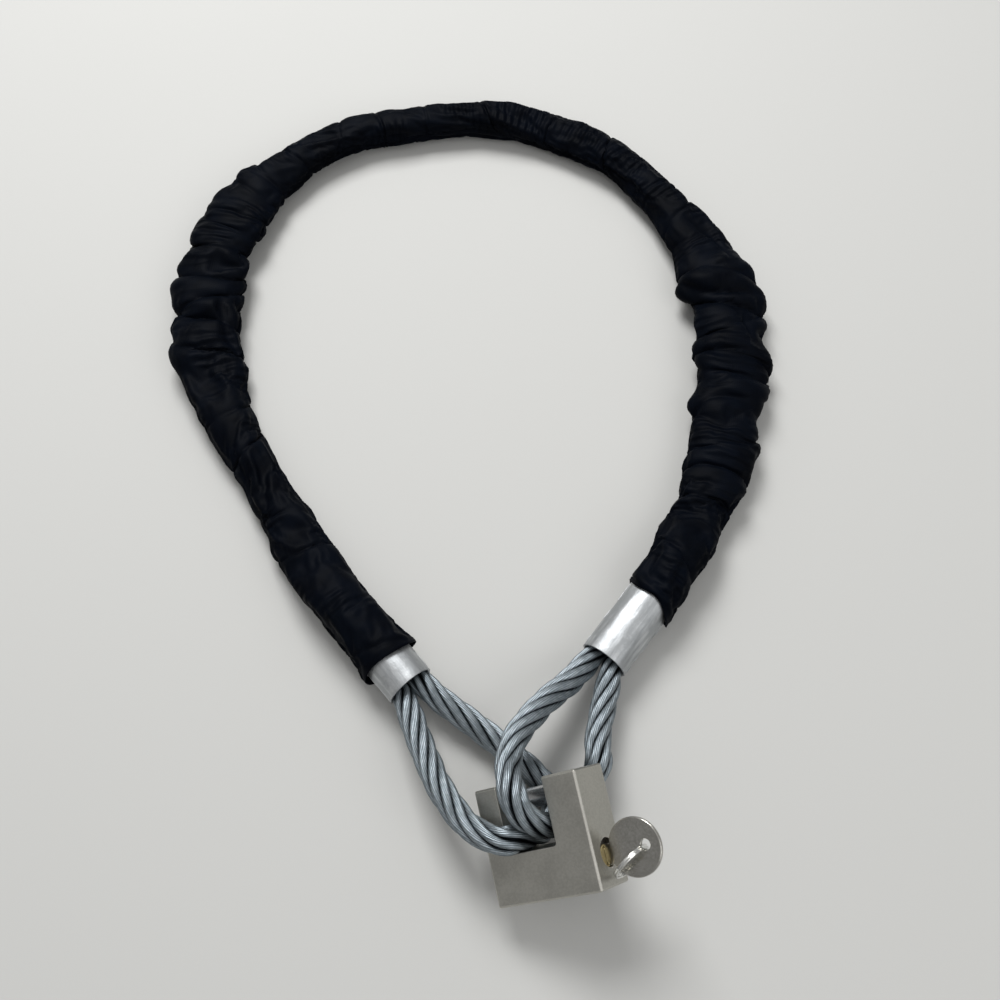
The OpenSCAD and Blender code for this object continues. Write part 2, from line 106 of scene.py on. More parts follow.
# Middle of the sleeve, with half its width and half its height
SLEEVE_RUN = [
    (-90, 91, 15.4, 18, 15.2), (-103, 106, 15.4, 17, 15.2), (-119, 124, 15.3, 16.4, 15.1),
    (-131, 140, 13, 18, 12.8), (-143, 157, 9.8, 19, 9.6), (-156, 179, 9.6, 18, 9.4),
    (-171, 204, 9.6, 17, 9.4), (-186, 229, 9.6, 17.5, 9.4), (-198, 254, 9.7, 18.5, 9.5),
    (-207, 282, 9.7, 19, 9.5), (-210, 312, 9.7, 19.5, 9.5), (-208, 342, 9.7, 19, 9.5),
    (-201, 371, 9.7, 18.5, 9.5), (-187, 398, 9.7, 17.5, 9.5), (-167, 421, 9.6, 16.5, 9.4),
    (-142, 438, 9.5, 16, 9.3), (-113, 450, 9.5, 15.5, 9.3), (-82, 456, 9.5, 15.5, 9.3),
    (-50, 459, 9.5, 16, 9.3), (-18, 456, 9.5, 16.5, 9.3), (12, 446, 9.5, 16, 9.3),
    (38, 430, 9.6, 16, 9.4), (60, 408, 9.7, 16.5, 9.5), (79, 382, 9.7, 18, 9.5),
    (95, 352, 9.8, 19, 9.6), (105, 320, 9.8, 20, 9.6), (107, 288, 9.8, 20, 9.6),
    (103, 257, 9.8, 19.5, 9.6), (97, 226, 9.8, 19.5, 9.6), (90, 198, 10, 19, 9.8),
    (79, 172, 11, 17.5, 10.8), (69, 154, 14, 16.4, 13.8), (61, 140, 15.3, 16.2, 15.1),
    (49, 124, 15.4, 17, 15.2),
]
ROPE_FIRST, ROPE_LAST = 3, 31


def add_camera():
    data = bpy.data.cameras.new("camera")
    data.lens = FOCAL_LENGTH
    data.sensor_width = 36
    camera = bpy.data.objects.new("camera", data)
    bpy.context.scene.collection.objects.link(camera)
    away = Vector((0, -math.cos(CAMERA_ELEVATION), math.sin(CAMERA_ELEVATION)))
    camera.location = CAMERA_TARGET + away * CAMERA_DISTANCE
    camera.rotation_euler = (math.pi / 2 - CAMERA_ELEVATION, 0, 0)
    bpy.context.scene.camera = camera


# Curves and tubes


def from_lock(point):
    """A point of the padlock's frame, in millimetres of the row frame."""
    return tuple(LOCK @ Vector(point) / MM)


def smooth_line(points, step):
    """Even rows along a smooth curve through the points, which may have columns after x, y and z."""
    p = np.array(points, float)
    p = np.vstack([2 * p[0] - p[1], p, 2 * p[-1] - p[-2]])
    t = np.linspace(0, 1, 24, endpoint=False)[:, None]
    rows = [
        0.5 * (2 * b + (c - a) * t + (2 * a - 5 * b + 4 * c - d) * t**2 + (3 * b - a - 3 * c + d) * t**3)
        for a, b, c, d in zip(p, p[1:], p[2:], p[3:])
    ]
    fine = np.vstack([*rows, p[-2][None]])
    along = distances(fine)
    at = np.linspace(0, along[-1], round(along[-1] / step) + 1)
    return np.stack([np.interp(at, along, column) for column in fine.T], axis=1)


def distances(line):
    """How far along the line each of its points is."""
    return np.concatenate([[0], np.cumsum(np.linalg.norm(np.diff(line[:, :3], axis=0), axis=1))])


def unit(v):
    return v / np.linalg.norm(v, axis=-1, keepdims=True)


def blurred(values, width):
    """Values averaged with their neighbours, over a bell of that width in samples."""
    reach = int(3 * width) + 1
    bell = np.exp(-0.5 * (np.arange(-reach, reach + 1) / width) ** 2)
    padded = np.pad(values, [(reach, reach)] + [(0, 0)] * (values.ndim - 1), mode="edge")
    flat = padded.reshape(len(padded), -1)
    columns = [np.convolve(column, bell / bell.sum(), "valid") for column in flat.T]
    return np.stack(columns, axis=1).reshape(values.shape)


def untwisted_frames(line, first):
    """Heading and two sides at each point of a line, turning as little as they can."""
    heading = unit(np.gradient(line, axis=0))
    side = np.zeros_like(line)
    v = np.array(first, float)
    for i, t in enumerate(heading):
        v = v - t * (v @ t)
        v = v / np.linalg.norm(v)
        side[i] = v
    return heading, side, np.cross(heading, side)


def tube(rings):
    """Points and faces of a closed tube through rings of points, each end closed to its middle."""
    n, m = rings.shape[:2]
    k = np.arange(m)
    i = np.arange(n - 1)[:, None] * m
    after = (k + 1) % m
    quads = np.stack([i + k, i + after, i + m + after, i + m + k], axis=-1).reshape(-1, 4)
    points = np.vstack([rings.reshape(-1, 3), rings[0].mean(0), rings[-1].mean(0)])
    last = (n - 1) * m
    start = np.stack([np.full(m, n * m), after, k], axis=1)
    end = np.stack([np.full(m, n * m + 1), last + k, last + after], axis=1)
    return points, quads.tolist() + start.tolist() + end.tolist()


def piece_from(name, parts, attributes=None):
    """A mesh object of several closed parts, each points and faces, with point attributes."""
    points, faces, base = [], [], 0
    for p, f in parts:
        points.append(p)
        faces.extend([[base + i for i in face] for face in f])
        base += len(p)
    mesh = bpy.data.meshes.new(name)
    mesh.from_pydata(np.vstack(points).tolist(), [], faces)
    for key, values in (attributes or {}).items():
        layer = mesh.attributes.new(key, "FLOAT", "POINT")
        layer.data.foreach_set("value", np.concatenate(values).astype(np.float32))
    mesh.update()
    piece = bpy.data.objects.new(name, mesh)
    bpy.context.scene.collection.objects.link(piece)
    return piece


def bend_of(line):
    """Direction of the middle of the bend, and how sharp it is, at each point."""
    curve = blurred(np.gradient(unit(np.gradient(line, axis=0)), axis=0), 4) / RING_STEP
    sharp = np.linalg.norm(curve, axis=1, keepdims=True)
    return curve / np.maximum(sharp, 1e-6), sharp


def lobed_ring(wires, points_each):
    """Angles and radii, as shares of the strand's radius, round a strand of wires that touch."""
    half = math.pi / wires
    wire = math.sin(half) / (1 + math.sin(half))
    middle = 1 - wire
    angles, radii, depth = [], [], []
    for w in range(wires):
        for q in range(points_each):
            off = half * (2 * q / points_each - 1)
            across = middle * math.sin(off)
            radius = middle * math.cos(off) + math.sqrt(max(wire**2 - across**2, 0))
            angles.append(2 * half * w + off)
            radii.append(radius)
            depth.append(abs(off) / half)
    return np.array(angles), 0.45 * np.array(radii) + 0.55 * (middle + 0.9 * wire), np.array(depth)


def laid_rope(name, line, snug, first_side, wires=WIRES, points_each=4, turn=0.0):
    """A rope of six strands round a core. snug is a share of the full radius at each point."""
    heading, side, other = untwisted_frames(line, first_side)
    along = distances(line)
    inward, sharp = bend_of(line)
    ease = np.clip(sharp * ROPE_RADIUS * 2.2, 0, 1)
    flat_way = np.cross(heading, inward)
    strand_radius = ROPE_RADIUS / 3 * snug[:, None]
    angles, radii, depth = lobed_ring(wires, points_each)
    parts, grooves, gaps = [], [], []
    for k in range(STRANDS):
        phi = (2 * math.pi * k / STRANDS + 2 * math.pi * along / ROPE_LAY + turn)[:, None]
        out = np.cos(phi) * side + np.sin(phi) * other
        offset = out * ROPE_RADIUS * 2 / 3 * snug[:, None]
        in_bend = (offset * inward).sum(1, keepdims=True)
        across = (offset * flat_way).sum(1, keepdims=True)
        offset = offset - 0.08 * ease * in_bend * inward + 0.14 * ease * across * flat_way
        centre = line + offset
        way = unit(np.gradient(centre, axis=0))
        out = unit(out - way * (out * way).sum(1, keepdims=True))
        third = np.cross(way, out)
        spin = -2 * math.pi * along[:, None] / (ROPE_LAY * 0.45)
        psi = angles[None] + spin
        r = strand_radius * radii[None]
        rings = (
            centre[:, None]
            + (r * np.cos(psi))[..., None] * out[:, None]
            + (r * np.sin(psi))[..., None] * third[:, None]
        )
        parts.append(tube(rings))
        # reach (each point's distance from the rope's middle) and groove (how near a point lies to the valley
        # between two wires) set the wire finish's painted shade; the middle of each strand's end cap gets
        # reach 0.6, so painted shade too
        reach = np.linalg.norm(rings - line[:, None], axis=2) / ROPE_RADIUS
        grooves.append(np.append(np.tile(depth, len(line)), [0, 0]))
        gaps.append(np.append(reach.ravel(), [0.6, 0.6]))
    core_angle = np.linspace(0, 2 * math.pi, 12, endpoint=False)
    core = ROPE_RADIUS * 0.42 * snug[:, None, None]
    rings = line[:, None] + core * (
        np.cos(core_angle)[None, :, None] * side[:, None] + np.sin(core_angle)[None, :, None] * other[:, None]
    )
    parts.append(tube(rings))
    # The core gets full groove and no reach, so it takes the darkest painted shade
    grooves.append(np.ones(len(parts[-1][0])))
    gaps.append(np.zeros(len(parts[-1][0])))
    return piece_from(name, parts, {"groove": grooves, "reach": gaps})


def leg_end(end, inward, side, past=0.0, offset=LEG_OFFSET):
    """Where a leg of an eye meets a ferrule's end face, or a point that much past it, inside."""
    sideways = np.array([inward[1], -inward[0], 0])
    return end + side * offset * sideways + past * inward


def eye_line(end, inward, front, round_lock, back):
    """The route of an eye, from inside its ferrule round the padlock and back into it."""
    route = [
        leg_end(end, inward, -1, LEG_INSET, LEG_OFFSET - 1.1), leg_end(end, inward, -1, -1, LEG_OFFSET - 0.7),
        *front, *map(from_lock, round_lock), *back,
        leg_end(end, inward, 1, -1, LEG_OFFSET - 0.7), leg_end(end, inward, 1, LEG_INSET, LEG_OFFSET - 1.1),
    ]
    return smooth_line(np.array(route) * MM, RING_STEP)


def eye_thickness(line):
    """An eye's thickness: opened up by its bends, snug in the notch and squeezed at its ferrule."""
    along = distances(line)
    near_end = np.clip(1 - np.minimum(along, along[-1] - along) / (20 * MM), 0, 1)
    placed = np.array([LOCK.inverted() @ Vector(point) for point in line])
    in_notch = (placed[:, 1] > -4) & (placed[:, 1] < 32) & (placed[:, 2] < 60)
    return 1 + 0.09 * (1 - blurred(in_notch.astype(float), 4)) - 0.22 * near_end**2


def add_eye(name, node, end, inward, front, round_lock, back, turn):
    line = eye_line(end, inward, front, round_lock, back)
    eye = laid_rope(name, line, eye_thickness(line), (0, 0, 1), turn=turn)
    finish_wires(eye)
    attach(eye, "padlock")
    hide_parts(node)
    return eye


def finish_wires(piece):
    """Smooth wires with a crisp groove between them, in the rope's finish."""
    piece.data.materials.append(wire_finish())
    use_only(piece)
    bpy.ops.object.shade_smooth_by_angle(angle=math.radians(50))


def use_only(piece):
    """Makes a piece the only selected and the active one."""
    bpy.ops.object.select_all(action="DESELECT")
    piece.select_set(True)
    bpy.context.view_layer.objects.active = piece


# Materials

MADE = {}


def finish(name, sockets):
    """A new material with a principled shader's sockets set, its nodes, and a function that adds a node."""
    material = bpy.data.materials.new(name)
    material.use_nodes = True
    tree = material.node_tree
    shader = tree.nodes["Principled BSDF"]
    for socket, value in sockets.items():
        shader.inputs[socket].default_value = value

    def add(kind, inputs=None, **settings):
        node = tree.nodes.new(kind)
        for key, value in settings.items():
            setattr(node, key, value)
        for key, value in (inputs or {}).items():
            if isinstance(value, bpy.types.NodeSocket):
                tree.links.new(value, node.inputs[key])
            else:
                node.inputs[key].default_value = value
        return node

    return material, shader, add, tree.links.new


def blend_colours(add, factor, low, high, kind="MIX"):
    """The output socket of a colour mix."""
    mix = add("ShaderNodeMix", data_type="RGBA", blend_type=kind)
    links = mix.id_data.links
    for index, value in ((0, factor), (6, low), (7, high)):
        if isinstance(value, bpy.types.NodeSocket):
            links.new(value, mix.inputs[index])
        else:
            mix.inputs[index].default_value = value
    return mix.outputs[2]


def ramp(add, value, low, high):
    """A value stretched so that low gives 0 and high gives 1."""
    node = add("ShaderNodeMapRange", {"Value": value, "From Min": low, "From Max": high})
    node.interpolation_type = "SMOOTHSTEP"
    return node.outputs["Result"]


def wire_finish():
    """Galvanised wire, with painted shade in the grooves between wires and near black painted shade deep
    between strands.
    """
    if "wire" in MADE:
        return MADE["wire"]
    material, shader, add, link = finish("galvanised_wire", {"Metallic": 1.0, "Roughness": 0.3})
    place = add("ShaderNodeTexCoord").outputs["Object"]
    cloud = add("ShaderNodeTexNoise", {"Vector": place, "Scale": 260.0, "Detail": 5.0, "Roughness": 0.65})
    cloudy = ramp(add, cloud.outputs["Fac"], 0.3, 0.7)
    bright = blend_colours(add, cloudy, (0.2, 0.23, 0.25, 1), (0.34, 0.38, 0.41, 1))
    reach = add("ShaderNodeAttribute", attribute_name="reach").outputs["Fac"]
    groove = add("ShaderNodeAttribute", attribute_name="groove").outputs["Fac"]
    # Painted shade: points deep in the rope, between its strands, go near black
    open_air = ramp(add, reach, 0.76, 0.97)
    # Painted shade in the grooves between wires
    in_groove = ramp(add, groove, 0.45, 1.0)
    shaded = blend_colours(add, in_groove, bright, (0.17, 0.2, 0.22, 1))
    link(blend_colours(add, open_air, (0.015, 0.018, 0.022, 1), shaded), shader.inputs["Base Color"])
    rough = add("ShaderNodeMapRange", {"Value": cloud.outputs["Fac"], "To Min": 0.38, "To Max": 0.55})
    link(rough.outputs["Result"], shader.inputs["Roughness"])
    MADE["wire"] = material
    return material


def cloth_finish():
    """Thin, closely woven, near black cloth with a faint blue cast."""
    material, shader, add, link = finish(
        "woven_cloth",
        {"Roughness": 0.55, "Specular IOR Level": 0.035, "Sheen Weight": 0.003, "Sheen Roughness": 0.4,
         "Sheen Tint": (0.35, 0.45, 0.7, 1)},
    )
    place = add("ShaderNodeUVMap", uv_map="cloth").outputs["UV"]
    spot = add("ShaderNodeTexCoord").outputs["Object"]
    cloud = add("ShaderNodeTexNoise", {"Vector": spot, "Scale": 45.0, "Detail": 4.0, "Roughness": 0.6})
    cloudy = ramp(add, cloud.outputs["Fac"], 0.3, 0.72)
    colour = blend_colours(add, cloudy, (0.0006, 0.0011, 0.0024, 1), (0.0013, 0.0024, 0.0052, 1))
    link(colour, shader.inputs["Base Color"])
    threads = [
        add("ShaderNodeTexWave", {"Vector": place, "Scale": 420.0}, bands_direction=way, wave_profile="SIN")
        for way in ("X", "Y")
    ]
    weave = add(
        "ShaderNodeMath", {0: threads[0].outputs["Fac"], 1: threads[1].outputs["Fac"]}, operation="MAXIMUM"
    )
    ridges = add(
        "ShaderNodeTexWave",
        {"Vector": place, "Scale": 62.0, "Distortion": 5.0, "Detail": 2.0, "Detail Scale": 0.8},
        bands_direction="Y",
        wave_profile="SIN",
    )
    patches = add("ShaderNodeTexNoise", {"Vector": place, "Scale": 26.0, "Detail": 1.0})
    where = ramp(add, patches.outputs["Fac"], 0.47, 0.62)
    wrinkles = add("ShaderNodeMath", {0: ridges.outputs["Fac"], 1: where}, operation="MULTIPLY")
    fine = add("ShaderNodeBump", {"Strength": 0.25, "Distance": 0.00015, "Height": weave.outputs["Value"]})
    broad = add(
        "ShaderNodeBump",
        {
            "Strength": 0.8,
            "Distance": 0.0011,
            "Height": wrinkles.outputs["Value"],
            "Normal": fine.outputs["Normal"],
        },
    )
    link(broad.outputs["Normal"], shader.inputs["Normal"])
    return material


def ferrule_finish(heading):
    """Pressed aluminium, streaked along the ferrule by the dies, dull with a few bright rubs."""
    material, shader, add, link = finish("pressed_aluminium", {"Metallic": 1.0, "Roughness": 0.4})
    place = add("ShaderNodeTexCoord").outputs["Object"]
    turned = add("ShaderNodeMapping", {"Vector": place, "Rotation": (0, 0, -heading)}).outputs["Vector"]
    long_way = add("ShaderNodeMapping", {"Vector": turned, "Scale": (0.12, 1, 1)}).outputs["Vector"]
    streak = add("ShaderNodeTexNoise", {"Vector": long_way, "Scale": 330.0, "Detail": 4.0, "Roughness": 0.6})
    blotch = add("ShaderNodeTexNoise", {"Vector": place, "Scale": 85.0, "Detail": 5.0, "Roughness": 0.65})
    streaky = ramp(add, streak.outputs["Fac"], 0.3, 0.7)
    base = blend_colours(add, streaky, (0.34, 0.355, 0.365, 1), (0.56, 0.575, 0.585, 1))
    dull = ramp(add, blotch.outputs["Fac"], 0.44, 0.62)
    link(blend_colours(add, dull, base, (0.4, 0.415, 0.425, 1)), shader.inputs["Base Color"])
    rough = add("ShaderNodeMapRange", {"Value": blotch.outputs["Fac"], "To Min": 0.42, "To Max": 0.62})
    link(rough.outputs["Result"], shader.inputs["Roughness"])
    relief = add("ShaderNodeBump", {"Strength": 0.5, "Distance": 0.0003, "Height": streak.outputs["Fac"]})
    dents = add(
        "ShaderNodeBump",
        {
            "Strength": 0.5,
            "Distance": 0.0008,
            "Height": blotch.outputs["Fac"],
            "Normal": relief.outputs["Normal"],
        },
    )
    link(dents.outputs["Normal"], shader.inputs["Normal"])
    return material


def metal_finish(name, dark, light, rough, grain=900.0, mottle=70.0, relief=0.00004):
    """A machined or plated metal, mottled between two colours, with a painted highlight along its smoother,
    rounded edges.
    """
    material, shader, add, link = finish(name, {"Metallic": 1.0})
    place = add("ShaderNodeTexCoord").outputs["Object"]
    blotch = add("ShaderNodeTexNoise", {"Vector": place, "Scale": mottle, "Detail": 6.0, "Roughness": 0.6})
    speck = add("ShaderNodeTexNoise", {"Vector": place, "Scale": grain, "Detail": 2.0, "Roughness": 0.5})
    both = add("ShaderNodeMath", {0: blotch.outputs["Fac"], 1: speck.outputs["Fac"]}, operation="ADD")
    colour = blend_colours(add, ramp(add, both.outputs["Value"], 0.7, 1.3), (*dark, 1), (*light, 1))
    bevel = add("ShaderNodeBevel", {"Radius": 0.0007}, samples=6)
    flat = add("ShaderNodeNewGeometry").outputs["Normal"]
    facing = add("ShaderNodeVectorMath", {0: bevel.outputs["Normal"], 1: flat}, operation="DOT_PRODUCT")
    # Painted highlight: the colour brightens where the rounded edge normal turns away from the flat one
    edge_highlight_mask = ramp(add, facing.outputs["Value"], 0.995, 0.9)
    edge = (*(min(1, 1.35 * c) for c in light), 1)
    link(blend_colours(add, edge_highlight_mask, colour, edge), shader.inputs["Base Color"])
    spread = add(
        "ShaderNodeMapRange", {"Value": blotch.outputs["Fac"], "To Min": rough * 0.8, "To Max": rough * 1.25}
    )
    link(spread.outputs["Result"], shader.inputs["Roughness"])
    bump = add(
        "ShaderNodeBump",
        {
            "Strength": 0.6,
            "Distance": relief,
            "Height": speck.outputs["Fac"],
            "Normal": bevel.outputs["Normal"],
        },
    )
    link(bump.outputs["Normal"], shader.inputs["Normal"])
    return material


# Ropes


def add_main_rope():
    start = leg_end(LEFT_FAR, LEFT_INWARD, 1)
    end = leg_end(RIGHT_FAR, RIGHT_INWARD, -1)
    route = [
        start - 2 * LEFT_INWARD, start + 9 * LEFT_INWARD,
        *[p[:3] for p in SLEEVE_RUN[ROPE_FIRST : ROPE_LAST + 1]],
        end + 9 * RIGHT_INWARD, end - 2 * RIGHT_INWARD,
    ]
    line = smooth_line(np.array(route) * MM, 3 * MM)
    rope = laid_rope("main_rope", line, np.ones(len(line)), (0, 0, 1), wires=9, points_each=2)
    finish_wires(rope)
    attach(rope, "padlock")
    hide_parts("rope_main")
    return rope


def add_tail(name, node, end, inward, side):
    """The cut end of the rope, just past its ferrule."""
    start = leg_end(end, inward, side)
    line = smooth_line(np.array([start - 2 * inward, start + 4 * inward, start + 9 * inward]) * MM, RING_STEP)
    tail = laid_rope(name, line, np.ones(len(line)), (0, 0, 1))
    finish_wires(tail)
    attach(tail, "padlock")
    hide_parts(node)
    return tail


# Sleeve

# How strongly the cloth is gathered, 0 to 1, by share of the way along the sleeve
GATHER = [
    (0, 0.15), (0.2, 0.25), (0.24, 0.8), (0.36, 0.8), (0.4, 0.12),
    (0.72, 0.1), (0.76, 1), (0.88, 0.8), (0.93, 0.3), (1, 0.6),
]
FOLD_SEED, PUFF_SEED, CREASE_SEED = 11, 7, 4
SLEEVE_STEP = 1.6 * MM
SLEEVE_SIDES = 60
CLOTH_THICKNESS = 0.45 * MM
CUT_GIRTH = 88 * MM
# Simulation of the gathers: spare cloth, scale, frames, and the furthest that a point may move
SPARE_GATHERED = 0.15
SPARE_SMOOTH = 0.012
SIM_SCALE = 20
SIM_FRAMES = 15
MAX_MOVE = 4 * MM


def gathered(along):
    """How strongly the cloth is gathered at each ring."""
    share, strength = np.array(GATHER).T
    return np.interp(along / along[-1], share, strength)


def puffs(along, gather, draw):
    """How much further the cloth reaches to one side at each ring: full puffs and tight spots in turn."""
    reach = np.zeros_like(along)
    place = 0.0
    while place < along[-1]:
        strength = float(np.interp(place, along, gather))
        length = draw.uniform(4, 10) * MM
        height = draw.uniform(-2.8, 2.6) * (0.3 + 0.7 * strength) * MM
        reach += height * np.exp(-0.5 * ((along - place) / length) ** 2)
        place += draw.uniform(8, 18) * MM
    return reach


def sleeve_rings():
    """Rings of points of the gathered sleeve, and the distance along it of each ring."""
    line = smooth_line(np.array(SLEEVE_RUN) * MM, SLEEVE_STEP)
    along = distances(line)
    gather = gathered(along)
    heading = unit(np.gradient(line[:, :3], axis=0))
    out_side = unit(np.cross([0, 0, 1], heading))
    up = np.cross(heading, out_side)
    draw = random.Random(PUFF_SEED)
    outer = line[:, 3] + puffs(along, gather, draw)
    inner = line[:, 3] + puffs(along, gather, draw)
    theta = np.linspace(0, 2 * math.pi, SLEEVE_SIDES, endpoint=False)
    cos, sin = np.cos(theta)[None], np.sin(theta)[None]
    across = np.where(cos > 0, outer[:, None] * cos, inner[:, None] * cos)
    half = line[:, 4][:, None]
    over = half * np.sign(sin) * np.abs(sin) ** 1.15
    shift, lift = fold_field(along, theta, gather)
    near_right = np.exp((along - along[-1]) / (9 * MM))[:, None]
    near_left = np.exp(-along / (9 * MM))[:, None]
    shift += near_right * (4 * np.cos(theta) + 1.6 * np.sin(3 * theta + 1)) * MM
    shift += near_left * (1.2 * np.sin(2 * theta)) * MM
    crease_shift, crease_lift = crease_field(along, theta, gather)
    shift += crease_shift
    lift += crease_lift
    covered = np.where(half > FERRULE_RADIUS, FERRULE_RADIUS, ROPE_RADIUS)
    lift = np.maximum(lift, -0.85 * (half - covered - CLOTH_THICKNESS))
    rings = (
        line[:, None, :3]
        + across[..., None] * out_side[:, None]
        + over[..., None] * up[:, None]
        + shift[..., None] * heading[:, None]
    )
    normal = unit(
        cos[..., None] * out_side[:, None] / np.where(cos > 0, outer[:, None], inner[:, None])[..., None]
        + sin[..., None] * up[:, None] / half[..., None]
    )
    rings = rings + lift[..., None] * normal
    rings[..., 2] = np.maximum(rings[..., 2], CLOTH_THICKNESS)
    return rings, gather, along


def fold_field(along, theta, gather):
    """Moves along the sleeve and outwards, at each ring and side, that make its gathers."""
    draw = random.Random(FOLD_SEED)
    shift = np.zeros((len(along), len(theta)))
    lift = np.zeros_like(shift)
    s = along[:, None] / MM
    place = 4.0
    length = along[-1] / MM
    while place < length - 4:
        strength = float(np.interp(place, along / MM, gather))
        width = draw.uniform(2.6, 5.2)
        middle = draw.uniform(0.15, 0.85) * math.pi
        spread = draw.uniform(0.5, 1.3)
        slant = draw.uniform(-4.5, 4.5)
        bow = draw.uniform(-3.5, 3.5)
        height = strength * draw.uniform(0.9, 2.6)
        if draw.random() < 0.25:
            middle += math.pi
        turn = np.angle(np.exp(1j * (theta[None] - middle)))
        window = np.exp(-0.5 * (turn / spread) ** 2)
        off = (s - place - slant * turn - bow * turn**2) / width
        crest = np.exp(-0.5 * off**2)
        lift += height * MM * window * (crest - 0.45 * np.exp(-0.5 * ((off - 1.7) / 0.6) ** 2))
        shift += 0.5 * height * MM * window * off * crest
        place += draw.uniform(1.6, 3.6) / max(strength, 0.35)
    return shift, lift


def crease_field(along, theta, gather):
    """Moves along the sleeve and outwards that pinch the sharp creases between its puffs."""
    draw = random.Random(CREASE_SEED)
    shift = np.zeros((len(along), len(theta)))
    lift = np.zeros_like(shift)
    turn = np.angle(np.exp(1j * (theta[None] - math.pi / 2)))
    s = along[:, None] / MM
    place = 8.0
    while place < along[-1] / MM - 4:
        strength = float(np.interp(place, along / MM, gather))
        depth = draw.uniform(1.2, 3) * (0.3 + 0.7 * strength)
        slant = draw.uniform(-7, 7)
        bow = draw.uniform(-1.5, 2.5)
        off = (s - place - slant * turn - bow * turn**2) / 2.6
        lift -= depth * MM * np.exp(-np.abs(off) ** 1.5)
        lift += 0.35 * depth * MM * np.exp(-0.5 * ((np.abs(off) - 2.6) / 1.2) ** 2)
        shift -= 0.9 * depth * MM * off * np.exp(-0.5 * off**2)
        place += draw.uniform(9, 19) / max(strength, 0.4)
    return shift, lift


def tube_mesh(name, rings):
    """A mesh of square faces through rings of points, open at both ends."""
    n, m = rings.shape[:2]
    i, k = np.meshgrid(np.arange(n - 1), np.arange(m), indexing="ij")
    a = i * m + k
    b = i * m + (k + 1) % m
    faces = np.stack([a, b, b + m, a + m], axis=-1).reshape(-1, 4)
    mesh = bpy.data.meshes.new(name)
    mesh.from_pydata(rings.reshape(-1, 3).tolist(), [], faces.tolist())
    return mesh, i, k


def add_collider(name, points, faces):
    """A body that the cloth can't pass, at the simulation's scale."""
    mesh = bpy.data.meshes.new(name)
    mesh.from_pydata((np.asarray(points) * SIM_SCALE).tolist(), [], faces)
    body = bpy.data.objects.new(name, mesh)
    bpy.context.scene.collection.objects.link(body)
    body.modifiers.new("stop", "COLLISION")
    body.collision.thickness_outer = 0.3 * MM * SIM_SCALE
    body.collision.cloth_friction = 8
    return body


def round_bar(line, radius):
    """Points and faces of a plain bar along a line."""
    _, side, other = untwisted_frames(line, (0, 0, 1))
    angle = np.linspace(0, 2 * math.pi, 20, endpoint=False)
    cos, sin = np.cos(angle)[None, :, None], np.sin(angle)[None, :, None]
    return tube(line[:, None] + radius * (cos * side[:, None] + sin * other[:, None]))


def settled(rings, gather):
    """The sleeve's points after its spare cloth has buckled into gathers round the rope."""
    n, m = rings.shape[:2]
    mesh, _, _ = tube_mesh("slack_tube", rings * SIM_SCALE)
    cloth = bpy.data.objects.new("slack_tube", mesh)
    bpy.context.scene.collection.objects.link(cloth)
    mouths = cloth.vertex_groups.new(name="mouths")
    mouths.add(list(range(2 * m)) + list(range((n - 2) * m, n * m)), 1.0, "REPLACE")
    smooth = cloth.vertex_groups.new(name="smooth")
    for ring, share in enumerate(gather):
        smooth.add(list(range(ring * m, (ring + 1) * m)), 1 - float(share), "REPLACE")
    settings = cloth.modifiers.new("cloth", "CLOTH")
    how = settings.settings
    how.quality = 4
    how.mass = 0.25
    how.tension_stiffness = 40
    how.compression_stiffness = 40
    how.shear_stiffness = 12
    how.bending_stiffness = 2.5
    how.air_damping = 2
    how.vertex_group_mass = "mouths"
    how.vertex_group_shrink = "smooth"
    how.shrink_min = -SPARE_GATHERED
    how.shrink_max = -SPARE_SMOOTH
    how.effector_weights.gravity = 0.02
    hits = settings.collision_settings
    hits.distance_min = 0.4 * MM * SIM_SCALE
    hits.collision_quality = 2
    hits.use_self_collision = True
    hits.self_distance_min = 0.7 * MM * SIM_SCALE
    settings.point_cache.frame_start = 1
    settings.point_cache.frame_end = SIM_FRAMES
    run = smooth_line(np.array([p[:3] for p in SLEEVE_RUN]) * MM, 4 * MM)
    bodies = [add_collider("rope_stop", *round_bar(run, ROPE_RADIUS))]
    for name, end, far in (("left_stop", LEFT_END, LEFT_FAR), ("right_stop", RIGHT_END, RIGHT_FAR)):
        line = np.array([end, 0.5 * (end + far), far]) * MM
        bodies.append(add_collider(name, *round_bar(line, FERRULE_RADIUS)))
    ground = [(-1, -1, 0), (1, -1, 0), (1, 1, 0), (-1, 1, 0)]
    bodies.append(add_collider("ground_stop", ground, [(0, 1, 2, 3)]))
    for step in range(1, SIM_FRAMES + 1):
        bpy.context.scene.frame_set(step)
    shown = cloth.evaluated_get(bpy.context.evaluated_depsgraph_get())
    moved = np.empty(n * m * 3, np.float32)
    shown.data.vertices.foreach_get("co", moved)
    moved = moved.reshape(n, m, 3).astype(float) / SIM_SCALE
    for body in [cloth, *bodies]:
        bpy.data.objects.remove(body, do_unlink=True)
    bpy.context.scene.frame_set(1)
    step = moved - rings
    far = np.linalg.norm(step, axis=2, keepdims=True)
    return rings + step * np.minimum(1, MAX_MOVE / np.maximum(far, 1e-9))


